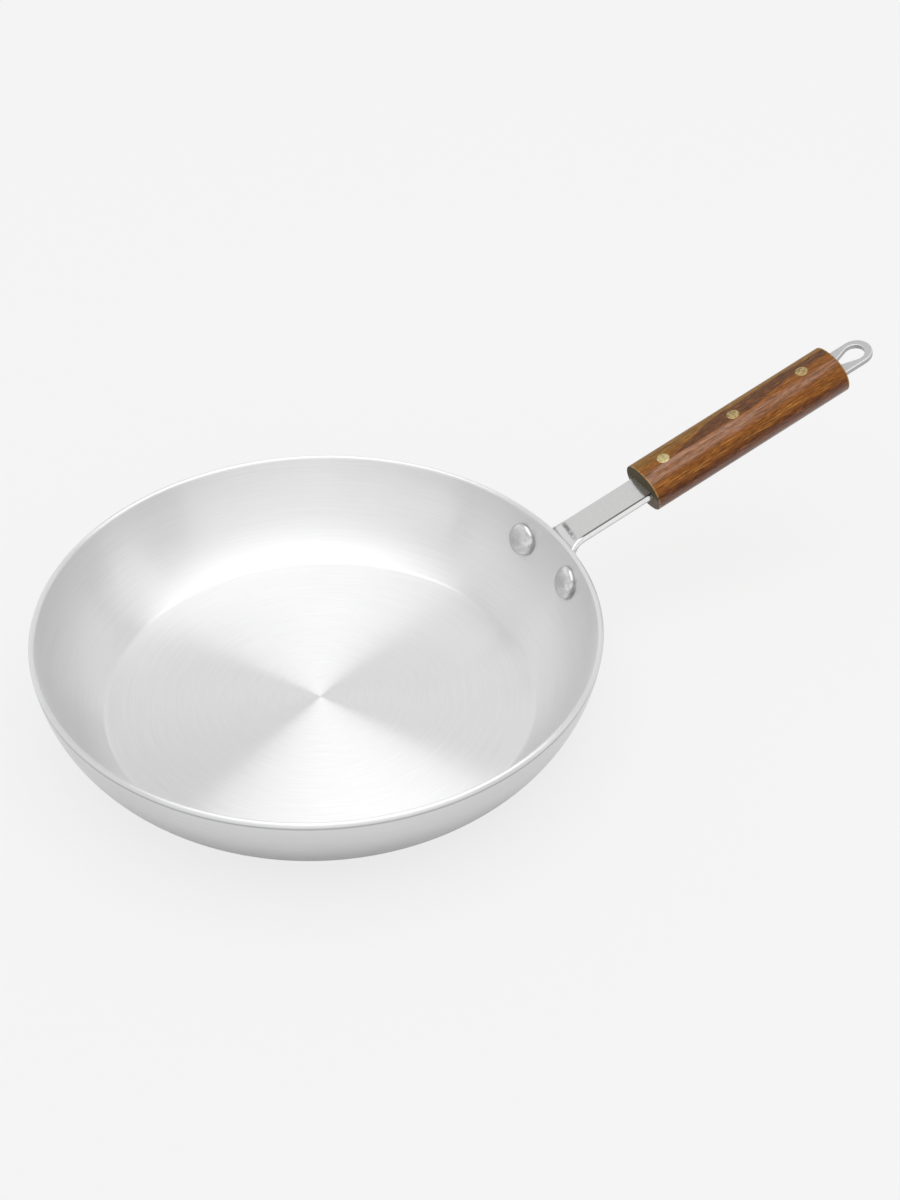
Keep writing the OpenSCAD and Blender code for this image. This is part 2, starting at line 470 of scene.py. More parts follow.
@dataclass(frozen=True)
class SpunAluminium:
    """Bare aluminium that was spun and brushed round its axis.

    It has a painted shadow in a thin line under the lip and painted shade where the outside turns under.
    """

    bowl: BowlSize
    colour: Colour = (0.88, 0.88, 0.885)
    roughness: float = 0.30
    stretch: float = 1.0
    quarter_turn: float = 0.25
    line_pitch: float = 0.5 * MM
    line_depth: float = 0.02 * MM
    ring_sway: float = 3.0
    cloud_scale: float = 30.0
    # The painted shadow under the lip and the painted shade where the outside turns under.
    beyond_lip: Span = (0.4 * MM, 1.1 * MM)
    painted_lip_shadow_width: float = 0.9 * MM
    painted_lip_shadow_soft: float = 0.25 * MM
    painted_lip_shadow: float = 0.35
    painted_under_facing: Span = (0.25, 0.72)
    painted_under_shade: float = 0.32

    def material(self) -> bpy.types.Material:
        """Builds the material.

        Returns:
            The finished material.
        """
        book = NodeBook("spun_aluminium")
        place = book.place()
        flat = book.vector("MULTIPLY", place, (1, 1, 0))
        radius = book.add("ShaderNodeVectorMath", {"operation": "LENGTH"}, {0: flat}, "Value")
        around = book.vector("NORMALIZE", flat, (0, 0, 0))
        height = book.dot(place, (0, 0, 1))
        rings = book.xyz(0.0, 0.0, (radius + height) / self.line_pitch)
        fine = book.noise(book.vector("ADD", book.scale(around, self.ring_sway), rings), detail=1.0)
        clouds = book.noise(place, self.cloud_scale)
        rough = self.roughness + 0.04 * (clouds - 0.5) + 0.06 * (fine - 0.5)
        lip_r, lip_z = self.bowl.lip
        lip_foot = lip_z - self.bowl.wall / 2
        outside = (radius - lip_r).smooth(*self.beyond_lip)
        # Painted shadow: a thin dark line on the outside, just under the lip.
        line = outside * height.band(lip_foot, lip_foot + self.painted_lip_shadow_width, self.painted_lip_shadow_soft)
        # Painted shade: the outside darkens where it faces down and turns under.
        under = book.facing((0, 0, -1)).smooth(*self.painted_under_facing)
        shade = (1.0 - self.painted_lip_shadow * line) * (1.0 - self.painted_under_shade * under)
        return book.close(book.surface(
            Base_Color=book.scale(self.colour, (0.935 + 0.12 * fine) * shade),
            Metallic=1.0,
            Roughness=rough,
            Anisotropic=self.stretch,
            Anisotropic_Rotation=self.quarter_turn,
            Normal=book.bump(fine, 1.0, self.line_depth),
        ))


@dataclass(frozen=True)
class StrapPlace:
    """Where a surface point lies on the strap, or on a grip that starts along it, as shader values."""

    book: NodeBook
    strap: StrapSize
    start: float = 0.0
    level: float = 0.0

    @property
    def _point(self) -> Value:
        """The surface point, seen from the start."""
        origin = self.strap.at(self.start, 0.0, self.level)
        return self.book.vector("SUBTRACT", self.book.place(), tuple(origin))

    @property
    def along(self) -> Value:
        """Distance along the strap from the start."""
        return self.book.dot(self._point, self.strap.along)

    @property
    def across(self) -> Value:
        """Distance across the strap."""
        return self.book.dot(self._point, (0, 1, 0))

    @property
    def up(self) -> Value:
        """Height over the level."""
        return self.book.dot(self._point, self.strap.up)

    def facing(self, direction: Sequence[float]) -> Value:
        """Returns how far the surface faces one way or its opposite, from 0, edge on, to 1."""
        return abs(self.book.facing(direction))

    def streaks(self, length: float, width: float, detail: float = 2.0, rough: float = 0.5) -> Value:
        """Returns noise of features that are drawn out along the strap."""
        drawn_out = self.book.xyz(self.along / length, self.across / width, self.up / width)
        return self.book.noise(drawn_out, 1.0, detail, rough)


@dataclass(frozen=True)
class PolishedSteel:
    """Stainless steel strip: fine grained faces, polished edges, a painted dark reflection across the bend
    and painted highlights and shadows.

    Spans are distances along the strap, across it or over its top face, as their names say.
    """

    strap: StrapSize
    face: Colour = (0.78, 0.78, 0.775)
    # The edge colour is also used for the painted highlights over the bend and on the eye's crest.
    edge: Colour = (0.98, 0.98, 0.98)
    dark_bend_reflection: Colour = (0.30, 0.30, 0.30)
    painted_shadow_black: Colour = (0.05, 0.05, 0.05)
    sheared: Colour = (0.66, 0.66, 0.66)
    dull: Colour = (0.49, 0.49, 0.495)
    face_roughness: float = 0.14
    edge_roughness: float = 0.12
    eye_matte: float = 0.25
    grain_size: Span = (5 * MM, 0.35 * MM)
    grit_scale: float = 1400.0
    blotch_scale: float = 420.0
    side_facing: Span = (0.75, 0.9)
    skew: float = 0.14
    # The mark spans place the painted dark reflection across the bend.
    mark_along: Span = (5.5 * MM, 7.5 * MM)
    mark_across: Span = (-5.4 * MM, 6.2 * MM)
    mark_wander: float = 1.4 * MM
    bend_along: Span = (6.5 * MM, 4.5 * MM)
    # The foot, far corner and near line spans place painted shadows and shade.
    foot_shadow_along: Span = (1.2 * MM, 2.4 * MM)
    far_shadow_across: Span = (6.6 * MM, 7.5 * MM)
    shade_line_across: Span = (-7.15 * MM, -6.3 * MM)
    shade_line_along: Span = (8 * MM, 60 * MM)
    shade_line_up: Span = (-0.6 * MM, -0.4 * MM)
    sheared_up: Span = (-1.8 * MM, -2.2 * MM)
    top_up: Span = (-5.0 * MM, -3.5 * MM)
    eye_along: Span = (120 * MM, 150 * MM)
    crest_highlight_up: Span = (-1.2 * MM, -0.9 * MM)

    def _painted_bend_reflection(self, at: StrapPlace, skewed: Value) -> Value:
        """Returns the painted dark reflection across the bend, in blotches.

        Args:
            at: The surface point on the strap.
            skewed: Distance along the strap, skewed as the mark is.

        Returns:
            The share of the painted dark reflection's colour.
        """
        blotches = at.book.noise(at.book.place(), self.blotch_scale, 3.0, 0.6)
        lengthwise = (skewed + self.mark_wander * (blotches - 0.5)).band(*self.mark_along, 0.55 * MM)
        return lengthwise * at.across.band(*self.mark_across, 1.2 * MM) * blotches.smooth(0.3, 0.62)

    def _painted_near_shade_line(self, at: StrapPlace) -> Value:
        """Returns the painted shade line along the near edge of the top face."""
        thin = at.across.band(*self.shade_line_across, 0.12 * MM) * at.up.smooth(*self.shade_line_up)
        return thin * at.along.band(*self.shade_line_along, 2 * MM)

    def material(self) -> bpy.types.Material:
        """Builds the material.

        Returns:
            The finished material.
        """
        book = NodeBook("polished_steel")
        at = StrapPlace(book, self.strap)
        grain = at.streaks(*self.grain_size, 3.0)
        grit = book.noise(book.place(), self.grit_scale, 3.0, 0.6)
        side = at.facing((0, 1, 0)).smooth(*self.side_facing)
        skewed = at.along - self.skew * at.across
        on_top = at.up.smooth(*self.top_up)
        bent = on_top * skewed.smooth(*self.bend_along)
        # Painted shadow at the foot of the bend, where the strap meets the wall.
        foot = on_top * skewed.band(*self.foot_shadow_along, 0.4 * MM)
        # Painted shade along the far corner of the bend.
        far = bent * at.across.band(*self.far_shadow_across, 0.2 * MM)
        colour = book.mix(side, self.face, self.edge)
        # Painted highlight: the bend is lightened towards the edge colour.
        colour = book.mix(0.6 * bent, colour, self.edge)
        # Painted dark reflection across the bend, in blotches.
        colour = book.mix(on_top * self._painted_bend_reflection(at, skewed), colour, self.dark_bend_reflection)
        colour = book.mix(side * at.up.smooth(*self.sheared_up), colour, self.sheared)
        # Painted shadows: the foot, the far corner and the line along the near edge darken towards black.
        colour = book.mix(0.4 * foot + 0.2 * far + 0.9 * self._painted_near_shade_line(at), colour, self.painted_shadow_black)
        eye = at.along.smooth(*self.eye_along)
        # Painted highlight along the crest of the eye's edge.
        crest_highlight = at.facing(self.strap.up).band(0.35, 0.97, 0.03) * at.up.smooth(*self.crest_highlight_up)
        colour = book.mix(eye, colour, book.mix(0.5 * crest_highlight, self.dull, self.edge))
        rough = self.face_roughness + (self.edge_roughness - self.face_roughness) * side
        rough = rough + self.eye_matte * eye
        return book.close(book.surface(
            Base_Color=book.scale(colour, 0.92 + 0.16 * grit),
            Metallic=0.88,
            Roughness=rough + 0.10 * (grit - 0.5),
            Normal=book.bump(0.6 * grain + 0.4 * grit, 0.12, 0.02 * MM),
        ))


@dataclass(frozen=True)
class RivetAluminium:
    """Soft aluminium with the small dents of the hammer, with painted shade round the head's rim."""

    colour: Colour = (0.72, 0.72, 0.72)
    roughness: float = 0.24
    dent_scale: float = 260.0
    dent_depth: float = 0.16 * MM
    spot_scale: float = 500.0
    grit_scale: float = 1500.0
    painted_rim_shade_facing: Span = (0.6, 0.15)
    painted_rim_shade: float = 0.4

    def material(self, word: str, axis: Vector) -> bpy.types.Material:
        """Returns the finished material.

        Args:
            word: Which rivet it is for.
            axis: The way that its head faces.

        Returns:
            The material.
        """
        book = NodeBook(f"rivet_aluminium_{word}")
        place = book.place()
        dents = book.noise(place, self.dent_scale)
        spots = book.noise(place, self.spot_scale)
        grit = book.noise(place, self.grit_scale, 3.0)
        # Painted shade on the head's flank, where it turns away from the axis.
        rim = book.facing(axis).smooth(*self.painted_rim_shade_facing)
        return book.close(book.surface(
            Base_Color=book.scale(self.colour, (0.80 + 0.4 * spots) * (1.0 - self.painted_rim_shade * rim)),
            Metallic=1.0,
            Roughness=self.roughness + 0.10 * (grit - 0.5),
            Normal=book.bump(dents + 0.15 * grit, 0.7, self.dent_depth),
        ))


@dataclass(frozen=True)
class VarnishedWood:
    """Reddish brown wood under varnish, with a dark stripe along the pins and golden flecks below.

    Turns are degrees round the grip from its crown, and grow towards the right side, seen from the bowl.
    Streaks have a length and a width, and the rings of a sawn end a width across and one upwards.
    """

    grip: GripSize
    red: Colour = (0.250, 0.082, 0.014)
    ochre: Colour = (0.240, 0.115, 0.024)
    orange: Colour = (0.270, 0.095, 0.016)
    amber: Colour = (0.238, 0.078, 0.012)
    dark: Colour = (0.110, 0.043, 0.020)
    deep: Colour = (0.130, 0.036, 0.007)
    gold: Colour = (0.560, 0.260, 0.050)
    end_grain: Colour = (0.085, 0.068, 0.038)
    # Painted reflection colour for the lower half of the ends.
    painted_low_end_reflection: Colour = (0.190, 0.150, 0.120)
    worn: Colour = (0.420, 0.260, 0.090)
    fibre_size: Span = (5 * MM, 0.4 * MM)
    pore_size: Span = (3 * MM, 0.25 * MM)
    vein_size: Span = (24 * MM, 1.5 * MM)
    sway_size: Span = (24 * MM, 7 * MM)
    splint_size: Span = (13 * MM, 0.6 * MM)
    ring_size: Span = (0.5 * MM, 2.5 * MM)
    stripe_opens: Span = (14 * MM, 46 * MM)
    stripe_narrows: Span = (50 * MM, 100 * MM)
    flecks_turn: Span = (57.0, 75.0)
    gloss_turn: Span = (14.0, 50.0)
    gloss_taper: float = 8.0
    low_gloss_turn: Span = (80.0, 94.0)
    worn_edge: Span = (0.9 * MM, 0.35 * MM)
    turn_soft: float = 4.0
    end_facing: Span = (0.6, 0.85)
    fibre_depth: float = 0.05 * MM

    @property
    def _stops(self) -> list[tuple[float, Colour]]:
        """The slow change of colour round the grip, at shares of a whole turn."""
        bands = (
            (-180, self.red), (-85, self.deep), (-55, self.ochre), (-25, self.ochre),
            (2, self.orange), (22, self.red), (48, self.amber), (68, self.amber),
            (82, self.deep), (115, self.deep), (180, self.red),
        )
        return [((turn + 180) / 360, colour) for turn, colour in bands]

    def _stripe(self, run: Value, turn: Value) -> Value:
        """Returns the dark stripe, which starts as a point behind the first pin.

        Args:
            run: Distance from the grip's front end.
            turn: The turn round the grip.

        Returns:
            The share of the stripe's colour.
        """
        upper = 10.0 - 40.0 * run.smooth(*self.stripe_opens)
        lower = 13.0 - 19.0 * run.smooth(*self.stripe_narrows)
        return turn.band(upper, lower, self.turn_soft)

    def _sawn_end(self, at: StrapPlace) -> Value:
        """Colours the grip's ends, with a painted reflection that makes the lower half paler.

        Args:
            at: The surface point on the grip.

        Returns:
            The colour of a sawn end.
        """
        across, up = self.ring_size
        rings = at.book.noise(at.book.xyz(0.0, at.across / across, at.up / up), detail=3.0)
        # Painted reflection: the lower half of each end is paler.
        plain = at.book.mix(at.up.smooth(0.2 * MM, -0.2 * MM), self.end_grain, self.painted_low_end_reflection)
        return at.book.scale(plain, 0.6 + 0.8 * rings)

    def material(self, word: str) -> bpy.types.Material:
        """Returns the finished material.

        Args:
            word: Which half it is for.

        Returns:
            The material.
        """
        book = NodeBook(f"varnished_wood_{word}")
        at = StrapPlace(book, self.grip.strap, self.grip.start, self.grip.mid_n)
        run = at.along
        fibre = at.streaks(*self.fibre_size, rough=0.6)
        pore = at.streaks(*self.pore_size, 1.0)
        vein = at.streaks(*self.vein_size)
        sway = at.streaks(*self.sway_size)
        splint = at.streaks(*self.splint_size, 1.0)
        angle = book.add("ShaderNodeMath", {"operation": "ARCTAN2"}, {0: -1.0 * at.across, 1: at.up})
        turn = math.degrees(1.0) * angle + 22.0 * (sway - 0.5) + 14.0 * (vein - 0.5)
        colour = book.add("ShaderNodeValToRGB", {"stops": self._stops}, {0: (turn + 180) / 360})
        colour = book.mix(0.9 * self._stripe(run, turn), colour, self.dark)
        flecks = turn.band(*self.flecks_turn, self.turn_soft) * splint.smooth(0.58, 0.68)
        colour = book.mix(0.6 * flecks + 0.2 * fibre.smooth(0.56, 0.72), colour, self.gold)
        grain = 0.60 + 0.50 * fibre.smooth(0.40, 0.60) + 0.3 * vein.smooth(0.3, 0.7)
        colour = book.scale(colour, grain * (1.0 - 0.45 * pore.smooth(0.56, 0.66)))
        from_end = book.add("ShaderNodeMath", {"operation": "MINIMUM"}, {0: run, 1: self.grip.length - run})
        colour = book.mix(0.8 * from_end.smooth(*self.worn_edge) * vein.smooth(0.35, 0.5), colour, self.worn)
        end = at.facing(self.grip.strap.along).smooth(*self.end_facing)
        taper = self.gloss_taper * (run / self.grip.length)
        first, last = self.gloss_turn
        patchy = 0.3 + 0.7 * (vein + 0.4 * (fibre - 0.5)).smooth(0.42, 0.6)
        gloss = 0.9 * turn.band(first + taper, last - taper, self.turn_soft) * patchy
        return book.close(book.surface(
            Base_Color=book.mix(end, colour, self._sawn_end(at)),
            Roughness=0.40 + 0.2 * end,
            Specular_IOR_Level=0.1,
            Coat_Weight=(0.1 + gloss + 0.6 * turn.smooth(*self.low_gloss_turn)) * (1.0 - end),
            Coat_Roughness=0.16,
            Coat_IOR=1.7,
            Normal=book.bump(fibre, 0.3, self.fibre_depth),
        ))


@dataclass(frozen=True)
class FiledBrass:
    """Pale brass, filed flush and varnished over with the wood."""

    pale: Colour = (0.60, 0.52, 0.27)
    dull: Colour = (0.42, 0.34, 0.15)
    mark_scale: float = 900.0
    mark_depth: float = 0.04 * MM

    def material(self, word: str) -> bpy.types.Material:
        """Returns the finished material.

        Args:
            word: Which pin it is for.

        Returns:
            The material.
        """
        book = NodeBook(f"filed_brass_{word}")
        marks = book.noise(book.place(), self.mark_scale, 3.0)
        return book.close(book.surface(
            Base_Color=book.mix(marks.smooth(0.58, 0.40), self.pale, self.dull),
            Metallic=0.85,
            Roughness=0.42 + 0.15 * (marks - 0.5),
            Normal=book.bump(marks, 0.4, self.mark_depth),
        ))


@dataclass(frozen=True)
class Floor:
    """The pale studio floor, whose even tone is seen by the camera and the metal under its shadows."""

    colour: Colour = (0.76, 0.76, 0.76)
    tone: Colour = (0.94, 0.94, 0.94)
    to_camera: float = 0.82
    to_metal: float = 0.08

    def material(self) -> bpy.types.Material:
        """Builds the material.

        Returns:
            The finished material.
        """
        book = NodeBook("studio_floor")
        matte = book.surface(Base_Color=_rgba(self.colour), Roughness=0.9, Specular_IOR_Level=0.0)
        glow = book.add("ShaderNodeEmission", inputs={"Color": _rgba(self.tone), "Strength": 1.0})
        rays = ("Camera", "Glossy", "Transmission")
        camera, glossy, through = (book.add("ShaderNodeLightPath", output=f"Is {kind} Ray") for kind in rays)
        seen = self.to_camera * camera + self.to_metal * (glossy + through)
        return book.close(book.add("ShaderNodeMixShader", inputs={0: seen, 1: matte, 2: glow}))


# Meshes


def bridge(mesh: bmesh.types.BMesh, low: Ring, high: Ring) -> None:
    """Joins two closed rings by faces.

    Args:
        mesh: The mesh that holds both rings.
        low: The first ring.
        high: The second ring, with as many points; either of them may be a single point.
    """
    count = max(len(low), len(high))
    for i in range(count):
        j = (i + 1) % count
        corners = (low[i % len(low)], low[j % len(low)], high[j % len(high)], high[i % len(high)])
        mesh.faces.new(tuple(dict.fromkeys(corners)))


def lathe(profile: Sequence[Point], steps: int) -> bmesh.types.BMesh:
    """Turns a profile round the Z axis.

    Args:
        profile: Points as radius and height; a first or last point on the axis closes the shape.
        steps: Number of steps in a full turn.

    Returns:
        The turned mesh.
    """
    mesh = bmesh.new()
    turns = [2 * math.pi * i / steps for i in range(steps)]
    rings = []
    for radius, height in profile:
        around = turns if radius > 1e-9 else turns[:1]
        rings.append([mesh.verts.new((radius * math.cos(a), radius * math.sin(a), height)) for a in around])
    for inner, outer in zip(rings, rings[1:]):
        bridge(mesh, inner, outer)
    bmesh.ops.recalc_face_normals(mesh, faces=mesh.faces)
    return mesh


def loft(rings: Sequence[Sequence[Vector]]) -> bmesh.types.BMesh:
    """Joins closed rings of the same length and caps both ends.

    Args:
        rings: The rings' points, in order.

    Returns:
        The closed mesh.
    """
    mesh = bmesh.new()
    made = [[mesh.verts.new(point) for point in ring] for ring in rings]
    for low, high in zip(made, made[1:]):
        bridge(mesh, low, high)
    mesh.faces.new(reversed(made[0]))
    mesh.faces.new(made[-1])
    bmesh.ops.recalc_face_normals(mesh, faces=mesh.faces)
    return mesh


def smoothstep(value: float, low: float, high: float) -> float:
    """Rises smoothly from 0 at low to 1 at high."""
    share = min(1.0, max(0.0, (value - low) / (high - low)))
    return share * share * (3 - 2 * share)


def put(name: str, data: bpy.types.ID) -> bpy.types.Object:
    """Puts a mesh, a lamp or a camera into the scene.

    Args:
        name: The object's name.
        data: What the object shows.

    Returns:
        The object.
    """
    made = bpy.data.objects.new(name, data)
    bpy.context.scene.collection.objects.link(made)
    return made


def show(name: str, mesh: bmesh.types.BMesh, node: str, material: bpy.types.Material) -> None:
    """Shows a finished piece that stands for a solid of the part.

    Args:
        name: The piece's name.
        mesh: Its mesh, which is used up.
        node: The solid that it replaces.
        material: Its finish.
    """
    data = bpy.data.meshes.new(name)
    mesh.to_mesh(data)
    mesh.free()
    data.shade_smooth()
    data.set_sharp_from_angle(angle=math.radians(CREASE_ANGLE))
    data.materials.append(material)
    piece = put(name, data)
    weigh = piece.modifiers.new("face weighted normals", "WEIGHTED_NORMAL")
    weigh.keep_sharp = True
    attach(piece, BODY)
    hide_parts(node)
    log.info("%s stands for %s with %d faces", name, node, len(data.polygons))


# Pieces


@dataclass
class SpunBowl:
    """The bowl, turned in one piece from the inside over the lip to the underside."""

    size: BowlSize
    finish: SpunAluminium
    turn_steps: int = 256
    lip_steps: int = 12

    def build(self) -> bmesh.types.BMesh:
        """Turns the bowl round its axis.

        Returns:
            The bowl's mesh.
        """
        lean = self.size.rim_lean
        lip = arc(self.size.lip, self.size.wall / 2, 180 - lean, -lean, self.lip_steps)
        inside = self.size.line(self.size.wall)
        outside = self.size.line(0.0)
        return lathe(inside[:-1] + lip + outside[-2::-1], self.turn_steps)

    def dress(self) -> None:
        """Shows the bowl in its finish."""
        show("bowl", self.build(), "pan_bowl", self.finish.material())


@dataclass
class BentStrap:
    """The strap, cut as a flat blank with rounded edges and then bent onto the wall."""

    size: StrapSize
    finish: PolishedSteel
    edge_r: float = 1.2 * MM
    thin_edge_share: float = 0.45
    eye_thick: float = 2.5 * MM
    edge_grows: Span = (0.0, 6 * MM)
    edge_shrinks: Span = (60 * MM, 120 * MM)
    gets_thin: Span = (120 * MM, 150 * MM)
    inside_grip: tuple[float, ...] = (60 * MM, 90 * MM, 120 * MM, 135 * MM, 150 * MM)
    edge_steps: int = 8
    ear_steps: int = 28
    fillet_steps: int = 10
    flare_steps: int = 16
    tip_steps: int = 20
    eye_steps: tuple[int, int] = (36, 12)
    fillet_r: float = 1.5 * MM
    cut_step: float = 0.8 * MM
    cuts_across: int = 12
    cut_beyond: float = 2 * MM
    hug_from: float = 0.5
    hug_to: float = 0.85

    def _half_outline(self) -> list[Point]:
        """Draws one side of the blank, from the flange's foot to the tip.

        Returns:
            Points as distance along and distance across.
        """
        size = self.size
        ear_a, ear_t = size.ear
        top = ear_a + size.ear_r
        flare_c = (size.flare_start, size.width / 2 + size.flare_r)
        fillet_a = top + self.fillet_r
        reach = size.flare_r - self.fillet_r
        fillet_t = flare_c[1] - math.sqrt(reach**2 - (flare_c[0] - fillet_a) ** 2)
        turn = math.degrees(math.atan2(fillet_t - flare_c[1], fillet_a - flare_c[0])) + 360
        ear = arc((ear_a, ear_t), size.ear_r, 180, 0, self.ear_steps)
        fillet = arc((fillet_a, fillet_t), self.fillet_r, 180, turn, self.fillet_steps)
        flare = arc(flare_c, size.flare_r, turn, 270, self.flare_steps)
        hidden = [(place, size.width / 2) for place in self.inside_grip]
        tip = arc((size.length - size.width / 2, 0.0), size.width / 2, 90, 0, self.tip_steps)
        return ear + fillet + flare[1:] + hidden + tip

    def outline(self) -> list[Point]:
        """Returns the blank's whole outline."""
        half = self._half_outline()
        return half + [(a, -t) for a, t in half[-2::-1]]

    def eye(self) -> list[Point]:
        """Draws the teardrop eye.

        Returns:
            Points as distance along and distance across.
        """
        wide_a, wide_r = self.size.eye_wide
        point_a, point_r = self.size.eye_point
        taper = math.degrees(math.asin((wide_r - point_r) / (wide_a - point_a)))
        wide = arc((wide_a, 0.0), wide_r, -90 - taper, 90 + taper, self.eye_steps[0])
        point = arc((point_a, 0.0), point_r, 90 + taper, 270 - taper, self.eye_steps[1])
        return wide + point

    def _edge(self) -> list[tuple[float, float, float]]:
        """Lays out the rings of the rounded edge.

        Returns:
            How far in each ring lies, the height of its face and its distance from that face.
        """
        turns = [math.radians(90 * i / self.edge_steps) for i in range(self.edge_steps + 1)]
        top = [(self.edge_r * (1 - math.sin(a)), 0.0, -self.edge_r * (1 - math.cos(a))) for a in turns]
        return top + [(inset, -self.size.thick, -depth) for inset, _, depth in reversed(top)]

    def _softness(self, a: float) -> float:
        """Returns the edge's share of its full radius, which is smaller on the wall and beyond the grip."""
        straight = smoothstep(a, *self.edge_grows) * (1 - smoothstep(a, *self.edge_shrinks))
        return self.thin_edge_share + (1 - self.thin_edge_share) * straight

    def _thinness(self, a: float) -> float:
        """Returns the share of the thickness that is left; the strap gets thinner inside the grip."""
        return 1 - (1 - self.eye_thick / self.size.thick) * smoothstep(a, *self.gets_thin)

    @staticmethod
    def _inward(loop: Sequence[Point]) -> list[Vector]:
        """Finds the way into the metal, which lies to the right of a loop.

        Args:
            loop: The loop's points, in order.

        Returns:
            A unit vector at each point.
        """
        count = len(loop)
        turned = []
        for i in range(count):
            before = Vector(loop[i]) - Vector(loop[i - 1])
            after = Vector(loop[(i + 1) % count]) - Vector(loop[i])
            run = before.normalized() + after.normalized()
            turned.append(Vector((run.y, -run.x)).normalized())
        return turned

    def _blank(self) -> bmesh.types.BMesh:
        """Builds the flat blank.

        Returns:
            A mesh whose points are distance along, distance across and height over the top face.
        """
        mesh = bmesh.new()
        rims: dict[int, list[bmesh.types.BMEdge]] = {0: [], -1: []}
        for loop in (self.outline(), self.eye()):
            inward = self._inward(loop)
            rings = []
            for inset, face, depth in self._edge():
                ring = []
                for point, turn in zip(loop, inward):
                    soft = self._softness(point[0])
                    moved = Vector(point) + inset * soft * turn
                    height = face * self._thinness(point[0]) + depth * soft
                    ring.append(mesh.verts.new((moved.x, moved.y, height)))
                rings.append(ring)
            for low, high in zip(rings, rings[1:]):
                bridge(mesh, low, high)
            for end, edges in rims.items():
                ring = rings[end]
                edges.extend(mesh.edges.get(pair) for pair in zip(ring, ring[1:] + ring[:1]))
        for edges in rims.values():
            bmesh.ops.triangle_fill(mesh, use_beauty=True, edges=edges)
        return mesh

    def _slice(self, mesh: bmesh.types.BMesh) -> None:
        """Cuts the blank into strips where it will be bent.

        Args:
            mesh: The blank.
        """
        foot = self.size.ear[0] - self.size.ear_r
        cuts = int((self.size.bend_start - foot) / self.cut_step) + 1
        for i in range(1, cuts):
            self._bisect(mesh, (foot + i * self.cut_step, 0, 0), (1, 0, 0))
        side = self.size.ear[1] + self.size.ear_r
        for i in range(-self.cuts_across, self.cuts_across + 1):
            self._bisect(mesh, (0, side * i / (self.cuts_across + 1), 0), (0, 1, 0))

    def _bisect(self, mesh: bmesh.types.BMesh, place: Sequence[float], normal: Sequence[float]) -> None:
        """Cuts the bent end of the blank along a plane.

        Args:
            mesh: The blank.
            place: A point on the plane.
            normal: The plane's normal.
        """
        limit = self.size.bend_start + self.cut_beyond
        faces = [face for face in mesh.faces if min(v.co.x for v in face.verts) < limit]
        edges = {edge for face in faces for edge in face.edges}
        verts = {vert for face in faces for vert in face.verts}
        parts = [*verts, *edges, *faces]
        bmesh.ops.bisect_plane(mesh, geom=parts, dist=1e-7, plane_co=place, plane_no=normal)

    def _on_wall(self, a: float, n: float) -> Vector:
        """Bends the middle of the blank onto the wall.

        Args:
            a: Distance along the blank.
            n: Height over its top face.

        Returns:
            The point's radius and height.
        """
        size = self.size
        dip = math.radians(size.bend_dip) + (size.bend_end - a) / (size.flange_r + size.thick / 2)
        radius = size.flange_r - n
        middle_r, middle_z = size.bowl.curve_c
        return Vector((middle_r + radius * math.cos(dip), middle_z - radius * math.sin(dip)))

    def _side(self, a: float, n: float) -> Vector:
        """Moves a point of the blank's middle along the strap, round the bend or onto the wall.

        Args:
            a: Distance along the blank.
            n: Height over its top face.

        Returns:
            The point's radius and height.
        """
        size = self.size
        if a >= size.bend_start:
            point = size.at(a, 0.0, n)
            return Vector((point.x, point.z))
        if a < size.bend_end:
            return self._on_wall(a, n)
        turn = math.radians(90 + size.rise) + (size.bend_start - a) / (size.bend_r + size.thick / 2)
        radius = size.bend_r + size.thick + n
        return Vector((size.bend_c[0] + radius * math.cos(turn), size.bend_c[1] + radius * math.sin(turn)))

    def bend(self, a: float, t: float, n: float) -> Vector:
        """Moves a point of the flat blank to its place on the pan.

        Args:
            a: Distance along the blank.
            t: Distance across it.
            n: Height over its top face.

        Returns:
            The point in the part's frame.
        """
        size = self.size
        spread = size.ear[1]
        near_ear = smoothstep(abs(t), self.hug_from * spread, self.hug_to * spread)
        hug = near_ear if a < size.flare_start else 0.0
        side = self._side(a, n).lerp(self._on_wall(a, n), hug)
        wrap = max(hug, 1 - smoothstep(a, size.bend_end, size.bend_start))
        turn = t / (spread / math.radians(size.rivet_angle / 2))
        flat = Vector((side.x, t, side.y))
        round_wall = Vector((side.x * math.cos(turn), side.x * math.sin(turn), side.y))
        return flat.lerp(round_wall, wrap)

    def build(self) -> bmesh.types.BMesh:
        """Cuts the blank and bends it.

        Returns:
            The strap's mesh.
        """
        mesh = self._blank()
        self._slice(mesh)
        for vert in mesh.verts:
            vert.co = self.bend(*vert.co)
        bmesh.ops.recalc_face_normals(mesh, faces=mesh.faces)
        return mesh

    def dress(self) -> None:
        """Shows the strap in its finish."""
        show("strap", self.build(), "handle_strap", self.finish.material())


class Side(Enum):
    """Left and right of the handle, seen from the bowl."""

    LEFT = 1
    RIGHT = -1


